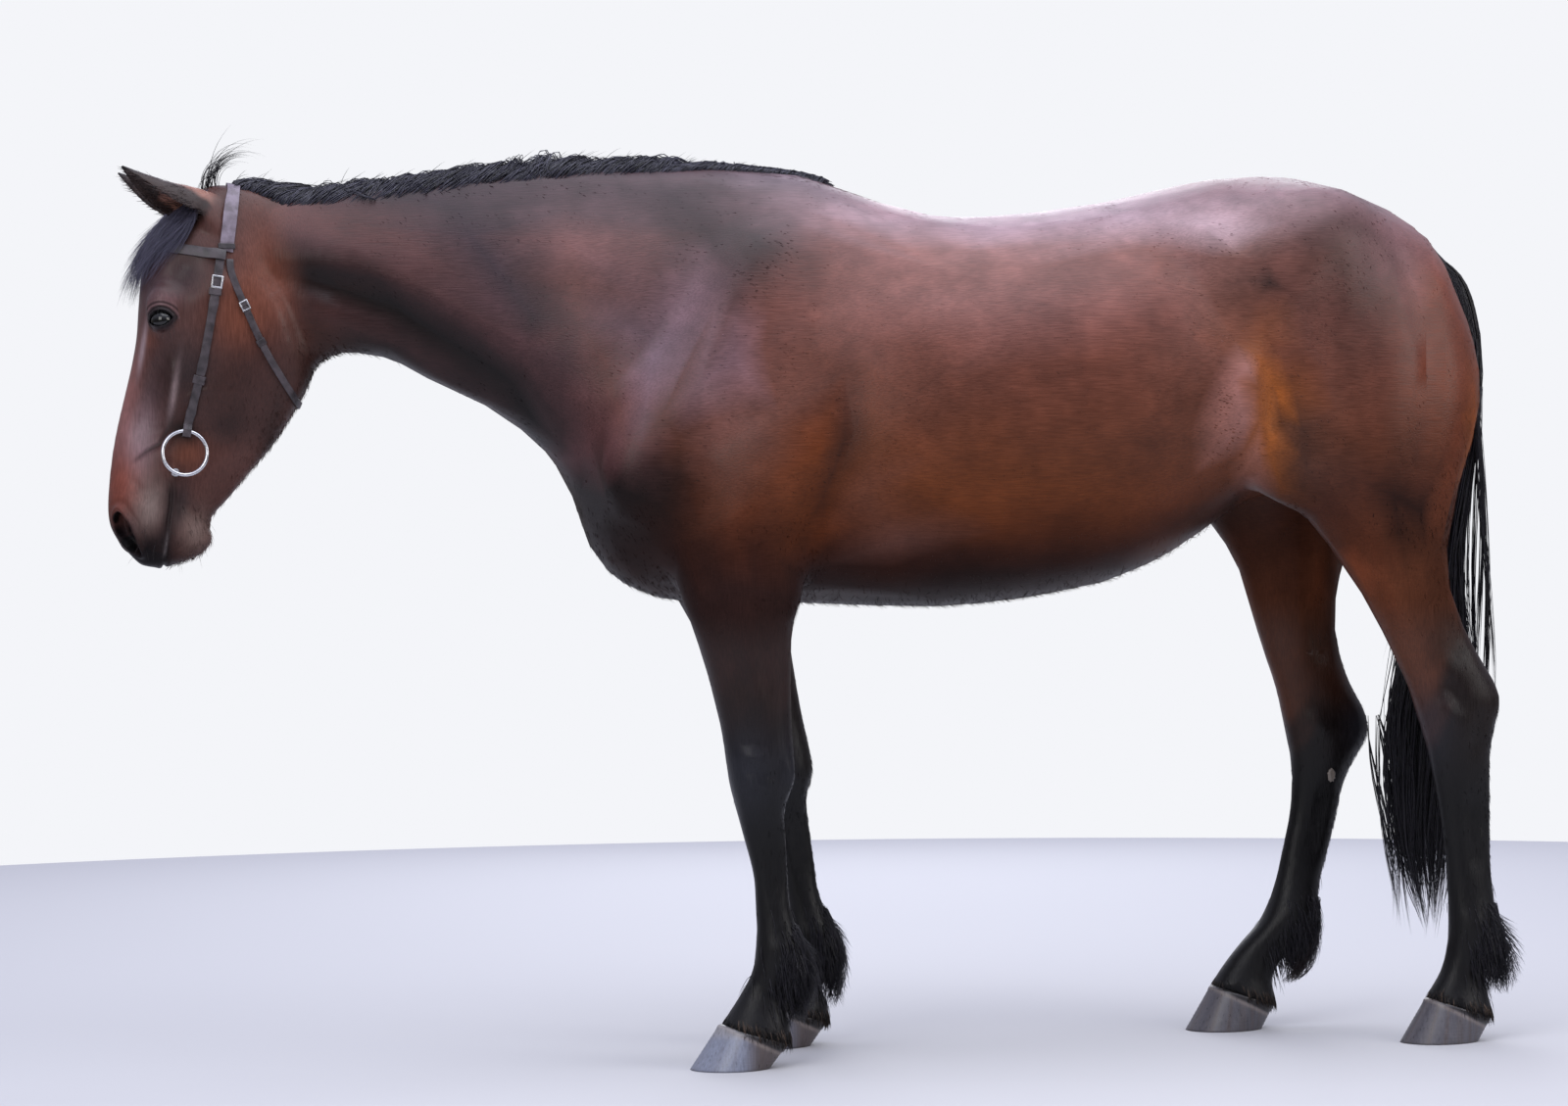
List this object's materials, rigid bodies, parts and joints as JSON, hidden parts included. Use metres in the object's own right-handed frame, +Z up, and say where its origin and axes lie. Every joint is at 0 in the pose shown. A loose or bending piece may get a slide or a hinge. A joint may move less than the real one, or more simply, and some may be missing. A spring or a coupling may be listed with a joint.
{
  "type": "standing horse in a snaffle bridle",
  "caption": "Life-size still model of a standing bay draught-cross horse with its neck stretched forward, in a plain leather snaffle bridle.",
  "frame": {"origin": "middle of the box that holds the horse, at floor level under the hooves", "axes": "+X from the muzzle towards the tail, so the horse faces -X; +Y towards its right side; +Z up"},
  "size_m": [2.6697, 0.6747, 1.7487],
  "materials": {
    "bay_coat": "short glossy bay hair, satin sheen",
    "black_coat": "short black hair, satin sheen",
    "black_hair": "long black hair, satin",
    "hoof_horn": "slate grey horn, satin, faint growth rings",
    "eye_wet": "dark brown, wet gloss",
    "bridle_leather": "dark brown bridle leather, satin",
    "buckle_steel": "polished stainless steel",
    "bit_steel": "polished stainless steel"
  },
  "bodies": {
    "root": {"bit_mouthpiece": "bit_steel", "bit_ring_left": "bit_steel", "bit_ring_right": "bit_steel", "bridle_browband": "bridle_leather", "bridle_cheekpiece_left": "bridle_leather", "bridle_cheekpiece_right": "bridle_leather", "bridle_crownpiece": "bridle_leather", "bridle_throatlatch": "bridle_leather", "buckle_cheek_left": "buckle_steel", "buckle_cheek_right": "buckle_steel", "buckle_throat_left": "buckle_steel", "buckle_throat_right": "buckle_steel", "ear_left": "bay_coat", "ear_right": "bay_coat", "eye_left": "eye_wet", "eye_right": "eye_wet", "feather_fore_left": "black_hair", "feather_fore_right": "black_hair", "feather_hind_left": "black_hair", "feather_hind_right": "black_hair", "foreleg_left_lower": "black_coat", "foreleg_left_upper": "bay_coat", "foreleg_right_lower": "black_coat", "foreleg_right_upper": "bay_coat", "forelock": "black_hair", "head": "bay_coat", "hindleg_left_lower": "black_coat", "hindleg_left_upper": "bay_coat", "hindleg_right_lower": "black_coat", "hindleg_right_upper": "bay_coat", "hoof_fore_left": "hoof_horn", "hoof_fore_right": "hoof_horn", "hoof_hind_left": "hoof_horn", "hoof_hind_right": "hoof_horn", "mane": "black_hair", "neck": "bay_coat", "tail": "black_hair", "trunk": "bay_coat"}
  },
  "joints": []
}
